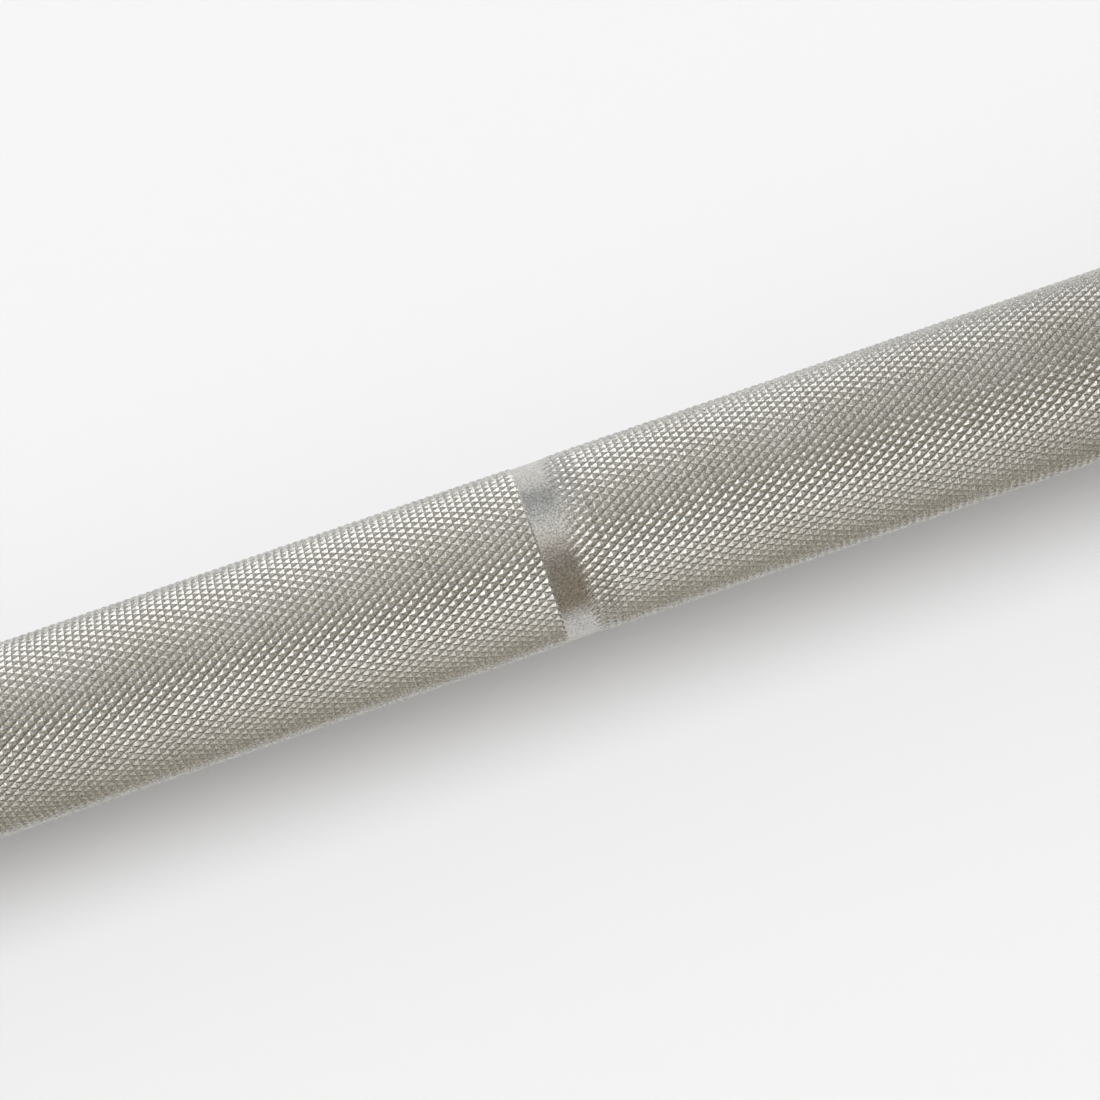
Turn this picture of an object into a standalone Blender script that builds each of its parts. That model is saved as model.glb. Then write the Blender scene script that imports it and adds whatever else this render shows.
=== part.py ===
"""A 20 kg barbell: one knurled steel shaft with a spinning sleeve on each end.

Lengths are in metres. The bar lies along X with the middle of the shaft at the origin, and +Z is up.
Each end is modelled in its own frame, whose Z axis runs outwards along the bar from the middle of the
shaft, so one set of functions makes the right end and the left end.
"""

import math

import bmesh
import bpy
from mathutils import Matrix, Vector

# The bar as a whole.
OVERALL_LENGTH = 2.200
GRIP_LENGTH = 1.310
SHAFT_DIAMETER = 0.028
SLEEVE_DIAMETER = 0.050
SLEEVE_END_CHAMFER = 0.002

# The knurl stands over the bare shaft by this much, and is measured from the collar's face.
KNURL_RISE = 0.00023
KNURL_FROM_COLLAR = 0.004
MARK_FROM_COLLAR = 0.195
MARK_WIDTH = 0.005
SIDE_KNURL_REACH = 0.445
CENTRE_KNURL_LENGTH = 0.120

# The collar is a ring round the sleeve's inboard end, and weight plates rest on its outboard face.
COLLAR_DIAMETER = 0.086
COLLAR_WIDTH = 0.030
COLLAR_CHAMFER = 0.002

# The shaft steps down to a journal, which runs inside the sleeve.
SHOULDER_STEP = 0.0015
JOURNAL_CHAMFER = 0.001
SHAFT_END_LAND = 0.003

# Dust seal.
SEAL_RECESS = 0.0008
SEAL_WIDTH = 0.005
SEAL_LIP_WIDTH = 0.0015
SEAL_LIP_HEIGHT = 0.001
SEAL_TO_SHOULDER = 0.0015

# Flanged bronze bushings and the thrust washers beside them.
BUSHING_LENGTH = 0.030
FLANGE_THICKNESS = 0.003
FLANGE_RISE = 0.002
WASHER_THICKNESS = 0.002

# Needle bearings: a drawn cup with turned-in lips, a cage and its rollers.
BEARING_WIDTH = 0.020
BEARING_SPACING = 0.003
CUP_WALL = 0.001
CUP_LIP = 0.0012
ROLLER_COUNT = 12
ROLLER_DIAMETER = 0.0020
CAGE_THICKNESS = 0.0012
CAGE_RIM = 0.0022
CAGE_SLOT = 0.0005

# Circlips: one on the shaft behind the outboard washer, one in the sleeve over the end cap.
SHAFT_CIRCLIP_THICKNESS = 0.0014
SHAFT_CIRCLIP_BACK = 0.0036
SHAFT_CIRCLIP_TIP = 0.0026
SHAFT_CIRCLIP_LUG = 0.0050
CAP_CIRCLIP_THICKNESS = 0.0018
CAP_CIRCLIP_BACK = 0.0042
CAP_CIRCLIP_TIP = 0.0030
CAP_CIRCLIP_LUG = 0.0056
CIRCLIP_GROOVE_DEPTH = 0.0012
CIRCLIP_HALF_GAP = math.radians(14)
LUG_LENGTH = 0.0042
LUG_HOLE_DIAMETER = 0.0018
LUG_RIM = 0.0010

# End cap.
CAP_THICKNESS = 0.010
CAP_STEP_DEPTH = 0.0020
CAP_LIP = 0.0020
CAP_CHAMFER = 0.0006
CAP_RECESS_DIAMETER = 0.026
CAP_RECESS_DEPTH = 0.0008
CAP_TO_SHAFT = 0.004

# Room between pieces that touch or turn on each other, and how finely round shapes are faceted.
GAP = 0.0003
ROLLER_PLAY = 0.0002
OUTSIDE_FACETS = 40
SHAFT_FACETS = 28
INSIDE_FACETS = 24
ROLLER_FACETS = 8
CIRCLIP_STEPS = 16
HOLE_STEPS = 8
MERGE = 0.00001

# Places along the bar, counted outwards from its middle.
COLLAR_FACE = GRIP_LENGTH / 2
BAR_END = OVERALL_LENGTH / 2
SEAL_START = COLLAR_FACE + SEAL_RECESS
SEAL_END = SEAL_START + SEAL_WIDTH
SHOULDER = SEAL_END + SEAL_TO_SHOULDER
INNER_WASHER = SHOULDER + GAP
INNER_FLANGE = INNER_WASHER + WASHER_THICKNESS + GAP
INBOARD_FLOOR = INNER_FLANGE + FLANGE_THICKNESS + GAP
INNER_BEARING = INNER_FLANGE + BUSHING_LENGTH + BEARING_SPACING

CAP_GROOVE_END = BAR_END - CAP_LIP
CAP_GROOVE_START = CAP_GROOVE_END - CAP_CIRCLIP_THICKNESS - 2 * GAP
CAP_OUTER_FACE = CAP_GROOVE_START
CAP_INNER_FACE = CAP_OUTER_FACE - CAP_THICKNESS
CAP_SEAT = CAP_INNER_FACE - GAP
SHAFT_END = CAP_INNER_FACE - CAP_TO_SHAFT
SHAFT_GROOVE_END = SHAFT_END - SHAFT_END_LAND
SHAFT_GROOVE_START = SHAFT_GROOVE_END - SHAFT_CIRCLIP_THICKNESS - 2 * GAP
OUTER_WASHER = SHAFT_GROOVE_START - WASHER_THICKNESS
OUTER_FLANGE_END = OUTER_WASHER - GAP
OUTBOARD_FLOOR = OUTER_FLANGE_END - FLANGE_THICKNESS - GAP
OUTER_BUSHING_START = OUTER_FLANGE_END - BUSHING_LENGTH
OUTER_BEARING = OUTER_BUSHING_START - BEARING_SPACING - BEARING_WIDTH

# Radii, worked outwards from the shaft to the sleeve's bores.
SHAFT_RADIUS = SHAFT_DIAMETER / 2
JOURNAL_RADIUS = SHAFT_RADIUS - SHOULDER_STEP
SHAFT_GROOVE_RADIUS = JOURNAL_RADIUS - CIRCLIP_GROOVE_DEPTH
ROLLER_RADIUS = ROLLER_DIAMETER / 2
ROLLER_PITCH_RADIUS = JOURNAL_RADIUS + ROLLER_PLAY + ROLLER_RADIUS
RACE_RADIUS = ROLLER_PITCH_RADIUS + ROLLER_RADIUS + ROLLER_PLAY
CUP_RADIUS = RACE_RADIUS + CUP_WALL
SEAT_RADIUS = CUP_RADIUS + GAP
FLANGE_RADIUS = CUP_RADIUS + FLANGE_RISE
COUNTERBORE_RADIUS = FLANGE_RADIUS + GAP
CAP_BORE_RADIUS = COUNTERBORE_RADIUS + CAP_STEP_DEPTH
CAP_GROOVE_RADIUS = CAP_BORE_RADIUS + CIRCLIP_GROOVE_DEPTH
SLEEVE_RADIUS = SLEEVE_DIAMETER / 2


def clear_scene():
    for obj in list(bpy.data.objects):
        bpy.data.objects.remove(obj)


def make_collection(name):
    collection = bpy.data.collections.new(name)
    bpy.context.scene.collection.children.link(collection)
    return collection


def make_material(name, colour, metallic, roughness):
    material = bpy.data.materials.new(name)
    material.use_nodes = True
    shader = material.node_tree.nodes["Principled BSDF"]
    shader.inputs["Base Color"].default_value = (*colour, 1.0)
    shader.inputs["Metallic"].default_value = metallic
    shader.inputs["Roughness"].default_value = roughness
    return material


def add_piece(name, data, material, frame, collection):
    """Links a named piece into the model, in the frame of the empty that carries it."""
    piece = bpy.data.objects.new(name, data)
    data.materials.append(material)
    piece.parent = frame
    collection.objects.link(piece)
    return piece


def baked(obj):
    """The object's mesh as its modifiers leave it."""
    graph = bpy.context.evaluated_depsgraph_get()
    return bpy.data.meshes.new_from_object(obj.evaluated_get(graph))


def facing_out(profile):
    """The (along, radius) points in the order that makes a turned surface face out."""
    area = 0.0
    for (z0, r0), (z1, r1) in zip(profile, profile[1:] + profile[:1]):
        area += z0 * r1 - z1 * r0
    return profile if area > 0 else profile[::-1]


def turned_mesh(name, profile, facets, closed=True, mirrored=False):
    """Turns a profile of (along, radius) points about Z, with a flat facet towards +X."""
    half_step = math.pi / facets
    spoke = Vector((math.cos(half_step), math.sin(half_step), 0))
    points = [spoke * radius + Vector((0, 0, along)) for along, radius in facing_out(profile)]
    edges = [(i, i + 1) for i in range(len(points) - 1)]
    if closed:
        edges.append((len(points) - 1, 0))
    blank = bpy.data.meshes.new(name)
    blank.from_pydata(points, edges, [])
    lathe = bpy.data.objects.new(name, blank)
    bpy.context.scene.collection.objects.link(lathe)
    screw = lathe.modifiers.new("Turn", "SCREW")
    screw.steps = facets
    screw.render_steps = facets
    screw.use_merge_vertices = True
    screw.merge_threshold = MERGE
    if mirrored:
        mirror = lathe.modifiers.new("Other half", "MIRROR")
        mirror.use_axis = (False, False, True)
        mirror.merge_threshold = MERGE
    mesh = baked(lathe)
    bpy.data.objects.remove(lathe)
    mesh.shade_smooth()
    mesh.set_sharp_from_angle(angle=math.radians(30))
    return mesh


def ring_profile(start, end, inner_radius, outer_radius):
    return [(start, inner_radius), (start, outer_radius), (end, outer_radius), (end, inner_radius)]


def shaft_mesh():
    """The whole shaft: knurled bands, smooth marks, and at each end a shoulder, a journal and a groove."""
    crest = SHAFT_RADIUS + KNURL_RISE
    centre_end = CENTRE_KNURL_LENGTH / 2
    side_start = COLLAR_FACE - SIDE_KNURL_REACH
    mark_end = COLLAR_FACE - MARK_FROM_COLLAR
    mark_start = mark_end - MARK_WIDTH
    side_end = COLLAR_FACE - KNURL_FROM_COLLAR
    profile = [(0, crest)]
    for start, end in ((centre_end, side_start), (mark_start, mark_end)):
        profile += [(start, crest), (start, SHAFT_RADIUS), (end, SHAFT_RADIUS), (end, crest)]
    profile += [
        (side_end, crest),
        (side_end, SHAFT_RADIUS),
        (SHOULDER, SHAFT_RADIUS),
        (SHOULDER, JOURNAL_RADIUS),
        (SHAFT_GROOVE_START, JOURNAL_RADIUS),
        (SHAFT_GROOVE_START, SHAFT_GROOVE_RADIUS),
        (SHAFT_GROOVE_END, SHAFT_GROOVE_RADIUS),
        (SHAFT_GROOVE_END, JOURNAL_RADIUS),
        (SHAFT_END - JOURNAL_CHAMFER, JOURNAL_RADIUS),
        (SHAFT_END, JOURNAL_RADIUS - JOURNAL_CHAMFER),
        (SHAFT_END, 0),
    ]
    return turned_mesh("shaft", profile, SHAFT_FACETS, closed=False, mirrored=True)


def sleeve_mesh(name):
    """The 50 mm tube that plates slide on, bored for the bushings, the bearings and the end cap."""
    profile = [
        (COLLAR_FACE, COUNTERBORE_RADIUS),
        (COLLAR_FACE, SLEEVE_RADIUS),
        (BAR_END - SLEEVE_END_CHAMFER, SLEEVE_RADIUS),
        (BAR_END, SLEEVE_RADIUS - SLEEVE_END_CHAMFER),
        (BAR_END, CAP_BORE_RADIUS),
        (CAP_GROOVE_END, CAP_BORE_RADIUS),
        (CAP_GROOVE_END, CAP_GROOVE_RADIUS),
        (CAP_GROOVE_START, CAP_GROOVE_RADIUS),
        (CAP_GROOVE_START, CAP_BORE_RADIUS),
        (CAP_SEAT, CAP_BORE_RADIUS),
        (CAP_SEAT, COUNTERBORE_RADIUS),
        (OUTBOARD_FLOOR, COUNTERBORE_RADIUS),
        (OUTBOARD_FLOOR, SEAT_RADIUS),
        (INBOARD_FLOOR, SEAT_RADIUS),
        (INBOARD_FLOOR, COUNTERBORE_RADIUS),
    ]
    return turned_mesh(name, profile, OUTSIDE_FACETS)


def collar_mesh(name):
    """The ring that stops the plates, shrunk onto the sleeve, with broken edges."""
    radius = COLLAR_DIAMETER / 2
    end = COLLAR_FACE + COLLAR_WIDTH
    profile = [
        (COLLAR_FACE, SLEEVE_RADIUS + GAP),
        (COLLAR_FACE, radius - COLLAR_CHAMFER),
        (COLLAR_FACE + COLLAR_CHAMFER, radius),
        (end - COLLAR_CHAMFER, radius),
        (end, radius - COLLAR_CHAMFER),
        (end, SLEEVE_RADIUS + GAP),
    ]
    return turned_mesh(name, profile, OUTSIDE_FACETS)


def dust_seal_mesh(name):
    """A rubber ring pressed into the sleeve, whose lip wipes the shaft."""
    lip = SHAFT_RADIUS + GAP
    profile = [
        (SEAL_START, lip),
        (SEAL_START, FLANGE_RADIUS),
        (SEAL_END, FLANGE_RADIUS),
        (SEAL_END, lip + SEAL_LIP_HEIGHT),
        (SEAL_START + SEAL_LIP_WIDTH, lip + SEAL_LIP_HEIGHT),
    ]
    return turned_mesh(name, profile, SHAFT_FACETS)


def bushing_mesh(name, flange_face, tail):
    """A flanged bronze bushing. Its body runs from the flange's thrust face to the tail."""
    bore = JOURNAL_RADIUS + GAP
    inward = math.copysign(FLANGE_THICKNESS, tail - flange_face)
    profile = [
        (flange_face, bore),
        (flange_face, FLANGE_RADIUS),
        (flange_face + inward, FLANGE_RADIUS),
        (flange_face + inward, CUP_RADIUS),
        (tail, CUP_RADIUS),
        (tail, bore),
    ]
    return turned_mesh(name, profile, INSIDE_FACETS)


def bearing_cup_mesh(name, start):
    """The bearing's drawn steel cup, with a lip turned in at each end to keep the cage in."""
    end = start + BEARING_WIDTH
    lip = RACE_RADIUS - CUP_LIP
    profile = [
        (start, lip),
        (start, CUP_RADIUS),
        (end, CUP_RADIUS),
        (end, lip),
        (end - CUP_WALL, lip),
        (end - CUP_WALL, RACE_RADIUS),
        (start + CUP_WALL, RACE_RADIUS),
        (start + CUP_WALL, lip),
    ]
    return turned_mesh(name, profile, INSIDE_FACETS)


def cage_span(start):
    """Where a bearing's cage starts and ends, between the lips of its cup."""
    return start + CUP_WALL + GAP, start + BEARING_WIDTH - CUP_WALL - GAP


def pocket_places(start):
    """The middle of each roller's window in the cage, one turn of the pitch circle apart."""
    low, high = cage_span(start)
    out = Matrix.Translation((ROLLER_PITCH_RADIUS, 0, (low + high) / 2))
    return [Matrix.Rotation(2 * math.pi * i / ROLLER_COUNT, 4, "Z") @ out for i in range(ROLLER_COUNT)]


def add_cutter(name, shape, frame, cutters):
    """Makes the hidden object that a Boolean on the cage works with."""
    mesh = bpy.data.meshes.new(name)
    shape.to_mesh(mesh)
    shape.free()
    cutter = bpy.data.objects.new(name, mesh)
    cutter.parent = frame
    cutter.display_type = "WIRE"
    cutter.hide_render = True
    cutters.objects.link(cutter)
    return cutter


def add_boolean(piece, label, operation, cutter):
    boolean = piece.modifiers.new(label, "BOOLEAN")
    boolean.operation = operation
    boolean.object = cutter


def add_roller_cage(name, start, material, frame, collection, cutters):
    """A thin tube on the pitch circle with a window for each needle roller, and the rollers in them.

    Each roller is held by the window's long sides and has a slot of free room at both of its ends.
    """
    low, high = cage_span(start)
    inner = ROLLER_PITCH_RADIUS - CAGE_THICKNESS / 2
    tube = turned_mesh(name, ring_profile(low, high, inner, inner + CAGE_THICKNESS), 2 * ROLLER_COUNT)
    cage = add_piece(name, tube, material, frame, collection)

    window_length = high - low - 2 * CAGE_RIM
    window = Matrix.Diagonal((4 * CAGE_THICKNESS, ROLLER_DIAMETER - CAGE_SLOT, window_length, 1))
    windows = bmesh.new()
    rollers = bmesh.new()
    for place in pocket_places(start):
        bmesh.ops.create_cube(windows, size=1, matrix=place @ window)
        bmesh.ops.create_cone(
            rollers,
            cap_ends=True,
            segments=ROLLER_FACETS,
            radius1=ROLLER_RADIUS,
            radius2=ROLLER_RADIUS,
            depth=window_length - 2 * CAGE_SLOT,
            matrix=place,
        )
    add_boolean(cage, "Windows", "DIFFERENCE", add_cutter(name + "_windows", windows, frame, cutters))
    add_boolean(cage, "Rollers", "UNION", add_cutter(name + "_needles", rollers, frame, cutters))


def circlip_curve(name, seat_radius, outward, back, tip, lug, thickness):
    """A flat spring ring with two pierced lugs, whose free edge widens from the tips to the back.

    Its other edge lies on the seat, a circle in the groove. outward is 1 for a ring on a shaft, whose
    free edge is its outer one, and -1 for a ring in a bore.
    """
    first, last = CIRCLIP_HALF_GAP, 2 * math.pi - CIRCLIP_HALF_GAP
    lug_angle = LUG_LENGTH / seat_radius

    def point(angle, height):
        radius = seat_radius + outward * height
        return Vector((radius * math.cos(angle), radius * math.sin(angle), 0))

    def sweep(start, stop):
        return [start + (stop - start) * i / CIRCLIP_STEPS for i in range(CIRCLIP_STEPS + 1)]

    seated = [point(angle, 0) for angle in sweep(first, last)]
    free = []
    for angle in sweep(last - lug_angle, first + lug_angle):
        free.append(point(angle, tip + (back - tip) * (1 - math.cos(angle)) / 2))
    far_lug = [point(last, lug), point(last - lug_angle, lug)]
    near_lug = [point(first + lug_angle, lug), point(first, lug)]
    outlines = [seated + far_lug + free + near_lug]

    hole_height = lug - LUG_RIM - LUG_HOLE_DIAMETER / 2
    for angle in (first + lug_angle / 2, last - lug_angle / 2):
        centre = point(angle, hole_height)
        hole = []
        for i in range(HOLE_STEPS):
            turn = 2 * math.pi * i / HOLE_STEPS
            hole.append(centre + LUG_HOLE_DIAMETER / 2 * Vector((math.cos(turn), math.sin(turn), 0)))
        outlines.append(hole)

    curve = bpy.data.curves.new(name, "CURVE")
    curve.dimensions = "2D"
    curve.fill_mode = "BOTH"
    curve.extrude = thickness / 2
    for outline in outlines:
        spline = curve.splines.new("POLY")
        spline.points.add(len(outline) - 1)
        for target, place in zip(spline.points, outline):
            target.co = (*place, 1)
        spline.use_cyclic_u = True
    return curve


def end_cap_mesh(name):
    """The disc that closes the sleeve, with a shallow turned recess in its outer face."""
    radius = CAP_BORE_RADIUS - GAP
    recess = CAP_RECESS_DIAMETER / 2
    profile = [
        (CAP_INNER_FACE, 0),
        (CAP_INNER_FACE, radius),
        (CAP_OUTER_FACE - CAP_CHAMFER, radius),
        (CAP_OUTER_FACE, radius - CAP_CHAMFER),
        (CAP_OUTER_FACE, recess),
        (CAP_OUTER_FACE - CAP_RECESS_DEPTH, recess),
        (CAP_OUTER_FACE - CAP_RECESS_DEPTH, 0),
    ]
    return turned_mesh(name, profile, OUTSIDE_FACETS, closed=False)


def build_circlip(name, curve, groove_start, groove_end, finishes, frame, collection):
    """Hangs a circlip in the middle of its groove."""
    ring = add_piece(name, curve, finishes["spring"], frame, collection)
    ring.location.z = (groove_start + groove_end) / 2


def build_end(side, turn, finishes, collection, cutters):
    """Everything on one end of the bar, in a frame whose Z axis points out along that end."""
    frame = bpy.data.objects.new(side + "_end", None)
    frame.rotation_euler = (0, turn, 0)
    collection.objects.link(frame)

    def add(label, mesh, finish):
        mesh.name = side + label
        add_piece(side + label, mesh, finishes[finish], frame, collection)

    add("_sleeve", sleeve_mesh(side + "_sleeve"), "sleeve")
    add("_collar", collar_mesh(side + "_collar"), "sleeve")
    add("_dust_seal", dust_seal_mesh(side + "_dust_seal"), "rubber")

    for label, start in (("_inner_thrust_washer", INNER_WASHER), ("_outer_thrust_washer", OUTER_WASHER)):
        washer = ring_profile(start, start + WASHER_THICKNESS, JOURNAL_RADIUS + GAP, FLANGE_RADIUS)
        add(label, turned_mesh(side + label, washer, INSIDE_FACETS), "bearing")

    inner = bushing_mesh(side + "_inner_bushing", INNER_FLANGE, INNER_FLANGE + BUSHING_LENGTH)
    add("_inner_bushing", inner, "bronze")
    outer = bushing_mesh(side + "_outer_bushing", OUTER_FLANGE_END, OUTER_BUSHING_START)
    add("_outer_bushing", outer, "bronze")

    for label, start in (("_inner_bearing", INNER_BEARING), ("_outer_bearing", OUTER_BEARING)):
        cup = label + "_cup"
        add(cup, bearing_cup_mesh(side + cup, start), "bearing")
        cage = side + label + "_roller_cage"
        add_roller_cage(cage, start, finishes["bearing"], frame, collection, cutters)

    name = side + "_shaft_circlip"
    clip = circlip_curve(
        name,
        SHAFT_GROOVE_RADIUS + GAP,
        1,
        SHAFT_CIRCLIP_BACK,
        SHAFT_CIRCLIP_TIP,
        SHAFT_CIRCLIP_LUG,
        SHAFT_CIRCLIP_THICKNESS,
    )
    build_circlip(name, clip, SHAFT_GROOVE_START, SHAFT_GROOVE_END, finishes, frame, collection)

    add("_end_cap", end_cap_mesh(side + "_end_cap"), "cap")
    name = side + "_end_cap_circlip"
    clip = circlip_curve(
        name,
        CAP_GROOVE_RADIUS - GAP,
        -1,
        CAP_CIRCLIP_BACK,
        CAP_CIRCLIP_TIP,
        CAP_CIRCLIP_LUG,
        CAP_CIRCLIP_THICKNESS,
    )
    build_circlip(name, clip, CAP_GROOVE_START, CAP_GROOVE_END, finishes, frame, collection)


def main():
    clear_scene()
    collection = make_collection("barbell")
    cutters = make_collection("cutters")
    finishes = {
        "shaft": make_material("shaft_steel", (0.62, 0.61, 0.58), 1.0, 0.35),
        "sleeve": make_material("sleeve_chrome", (0.64, 0.64, 0.63), 1.0, 0.22),
        "cap": make_material("cap_steel", (0.60, 0.60, 0.59), 1.0, 0.30),
        "bronze": make_material("bushing_bronze", (0.62, 0.42, 0.20), 1.0, 0.35),
        "bearing": make_material("bearing_steel", (0.55, 0.56, 0.58), 1.0, 0.18),
        "spring": make_material("spring_steel", (0.10, 0.10, 0.11), 0.8, 0.45),
        "rubber": make_material("seal_rubber", (0.02, 0.02, 0.02), 0.0, 0.65),
    }
    along = bpy.data.objects.new("bar", None)
    along.rotation_euler = (0, math.pi / 2, 0)
    collection.objects.link(along)
    add_piece("shaft", shaft_mesh(), finishes["shaft"], along, collection)
    build_end("right", math.pi / 2, finishes, collection, cutters)
    build_end("left", -math.pi / 2, finishes, collection, cutters)


main()
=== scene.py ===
"""The looks of a 20 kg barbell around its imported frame: a knurled steel shaft with two spinning sleeves.

Lengths are in metres, in the frame's own axes: the bar lies along X and +Z is up.
"""

import math

import bmesh
import bpy
import numpy as np
from mathutils import Matrix, Vector


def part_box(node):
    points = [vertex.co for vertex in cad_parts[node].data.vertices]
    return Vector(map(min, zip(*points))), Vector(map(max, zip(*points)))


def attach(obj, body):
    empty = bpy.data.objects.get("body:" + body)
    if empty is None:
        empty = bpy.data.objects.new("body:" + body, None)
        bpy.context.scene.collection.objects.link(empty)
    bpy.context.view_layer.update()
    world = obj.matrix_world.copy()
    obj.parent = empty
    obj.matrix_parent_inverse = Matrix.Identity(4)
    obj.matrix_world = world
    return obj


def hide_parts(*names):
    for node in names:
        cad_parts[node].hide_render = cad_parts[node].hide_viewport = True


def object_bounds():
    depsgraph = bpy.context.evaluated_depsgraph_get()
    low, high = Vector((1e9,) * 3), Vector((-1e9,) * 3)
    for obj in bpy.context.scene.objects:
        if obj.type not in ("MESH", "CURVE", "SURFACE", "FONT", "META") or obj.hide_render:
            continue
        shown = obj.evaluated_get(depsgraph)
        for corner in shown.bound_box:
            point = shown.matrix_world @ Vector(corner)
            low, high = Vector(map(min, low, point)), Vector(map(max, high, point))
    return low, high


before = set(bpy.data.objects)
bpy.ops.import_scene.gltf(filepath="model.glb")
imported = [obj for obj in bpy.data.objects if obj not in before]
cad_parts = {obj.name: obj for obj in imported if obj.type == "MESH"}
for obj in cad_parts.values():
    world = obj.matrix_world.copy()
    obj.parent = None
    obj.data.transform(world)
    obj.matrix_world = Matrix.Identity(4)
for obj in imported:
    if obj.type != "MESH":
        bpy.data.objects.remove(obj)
cad_low, cad_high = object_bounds()


# The studio floor.
# A plain pale sheet, larger than any view of the bar, on which the two collars stand. Where metal mirrors it,
# its colour is painted shade: dimmer with distance along Y, because a real sheet grows dimmer away from the
# lamp, and darker on the -Y side, where the bar's shadow falls.

FLOOR_COLOUR = (0.676, 0.681, 0.698)
FLOOR_SIDE = 80.0
FLOOR_SQUARES = 8
PAPER_ROUGHNESS = 0.9
PAINTED_FALLOFF = ((-1.1, 0.50), (-0.30, 0.74), (-0.05, 0.78), (0.03, 0.95), (0.25, 0.88), (1.1, 0.70))


def wire(tree, kind, inputs=(), **settings):
    """Adds a node, gives it its settings, and fills its inputs with numbers or with other nodes' outputs."""
    node = tree.nodes.new(kind)
    for key, value in settings.items():
        setattr(node, key, value)
    for key, value in dict(inputs).items():
        if isinstance(value, bpy.types.NodeSocket):
            tree.links.new(value, node.inputs[key])
        else:
            node.inputs[key].default_value = value
    return node


scene = bpy.context.scene
scene.view_settings.view_transform = "Standard"

floor_mesh = bpy.data.meshes.new("studio_floor")
floor_bm = bmesh.new()
bmesh.ops.create_grid(floor_bm, x_segments=FLOOR_SQUARES, y_segments=FLOOR_SQUARES, size=FLOOR_SIDE / 2)
floor_bm.to_mesh(floor_mesh)
floor_bm.free()
floor = bpy.data.objects.new("studio_floor", floor_mesh)
floor.location.z = cad_low.z
scene.collection.objects.link(floor)
floor_paper = bpy.data.materials.new("floor_paper")
floor_paper.use_nodes = True
paper = floor_paper.node_tree.nodes["Principled BSDF"]
tree = floor_paper.node_tree
spot = wire(tree, "ShaderNodeSeparateXYZ", {0: wire(tree, "ShaderNodeTexCoord").outputs["Object"]})
reach = PAINTED_FALLOFF[-1][0]
depth = wire(tree, "ShaderNodeMapRange", {"Value": spot.outputs["Y"], "From Min": -reach, "From Max": reach})
painted_falloff = wire(tree, "ShaderNodeValToRGB", {0: depth.outputs[0]})
stops = painted_falloff.color_ramp.elements
while len(stops) < len(PAINTED_FALLOFF):
    stops.new(0.5)
for stop, (place, level) in zip(stops, PAINTED_FALLOFF):
    stop.position = (place + reach) / (2 * reach)
    stop.color = [level * value for value in FLOOR_COLOUR] + [1]
# Painted shade: only glossy rays see the floor darkened by the ramp, and all other rays see its even colour.
mirrored = wire(tree, "ShaderNodeLightPath").outputs["Is Glossy Ray"]
seen = wire(tree, "ShaderNodeMix", {"Factor": mirrored}, data_type="RGBA")
seen.inputs["A"].default_value = (*FLOOR_COLOUR, 1)
tree.links.new(painted_falloff.outputs["Color"], seen.inputs["B"])
tree.links.new(seen.outputs["Result"], paper.inputs["Base Color"])
paper.inputs["Roughness"].default_value = PAPER_ROUGHNESS
paper.inputs["Specular IOR Level"].default_value = 0.0
floor_mesh.materials.append(floor_paper)


# The studio light.
# A broad pale wall on the left, dim walls elsewhere and one long softbox above that throws the shadow. The
# lean is the angle from straight up towards +Y, and the reach is the direction's share along X.

ROOM = {
    "left": (
        (-90, (0.370, 0.335, 0.275)),
        (-75, (0.415, 0.385, 0.325)),
        (-57, (0.535, 0.515, 0.465)),
        (-41, (0.670, 0.660, 0.620)),
        (-24, (0.860, 0.855, 0.830)),
        (-7, (0.880, 0.880, 0.865)),
        (10, (0.900, 0.900, 0.890)),
        (25, (1.450, 1.450, 1.450)),
        (40, (1.850, 1.850, 1.850)),
        (90, (1.950, 1.950, 1.950)),
    ),
    "window": (
        (-90, (0.370, 0.335, 0.275)),
        (-57, (0.555, 0.535, 0.485)),
        (-41, (0.720, 0.710, 0.670)),
        (-24, (1.130, 1.125, 1.100)),
        (-7, (1.420, 1.420, 1.405)),
        (12, (1.780, 1.780, 1.770)),
        (25, (1.880, 1.880, 1.880)),
        (90, (1.950, 1.950, 1.950)),
    ),
    "middle": (
        (-90, (0.268, 0.230, 0.178)),
        (-36, (0.268, 0.228, 0.177)),
        (-27, (0.236, 0.206, 0.174)),
        (-19, (0.200, 0.178, 0.160)),
        (-12, (0.226, 0.192, 0.168)),
        (-4, (0.320, 0.272, 0.242)),
        (4, (0.425, 0.380, 0.342)),
        (12, (0.605, 0.565, 0.525)),
        (20, (0.775, 0.775, 0.760)),
        (27, (0.850, 0.850, 0.830)),
        (36, (0.770, 0.775, 0.765)),
        (44, (0.660, 0.670, 0.675)),
        (53, (0.525, 0.540, 0.555)),
        (66, (0.470, 0.485, 0.505)),
        (80, (0.330, 0.340, 0.355)),
        (90, (0.290, 0.295, 0.305)),
    ),
    "right": (
        (-90, (0.320, 0.285, 0.232)),
        (-57, (0.430, 0.402, 0.352)),
        (-41, (0.510, 0.487, 0.437)),
        (-24, (0.640, 0.622, 0.578)),
        (-7, (0.695, 0.680, 0.646)),
        (12, (0.705, 0.696, 0.667)),
        (24, (0.555, 0.550, 0.531)),
        (41, (0.500, 0.500, 0.485)),
        (63, (0.600, 0.605, 0.600)),
        (90, (0.680, 0.685, 0.685)),
    ),
    "far": (
        (-90, (0.110, 0.110, 0.110)),
        (-75, (0.130, 0.128, 0.122)),
        (-45, (0.360, 0.340, 0.290)),
        (90, (0.400, 0.385, 0.350)),
    ),
}
LEFT_FROM = (-0.20, -0.34)
WINDOW_FROM = (-0.38, -0.52)
RIGHT_FROM = (0.18, 0.34)
FAR_FROM = (0.68, 0.78)
BACKGROUND = (0.905, 0.905, 0.905)
SKYLINE = (0.02, 0.06)
SOFTBOX_LEAN = math.radians(13)
SOFTBOX_REACH = -0.15
SOFTBOX_SPREAD = math.radians(27)
SOFTBOX_LIGHT = 2.30

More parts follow.
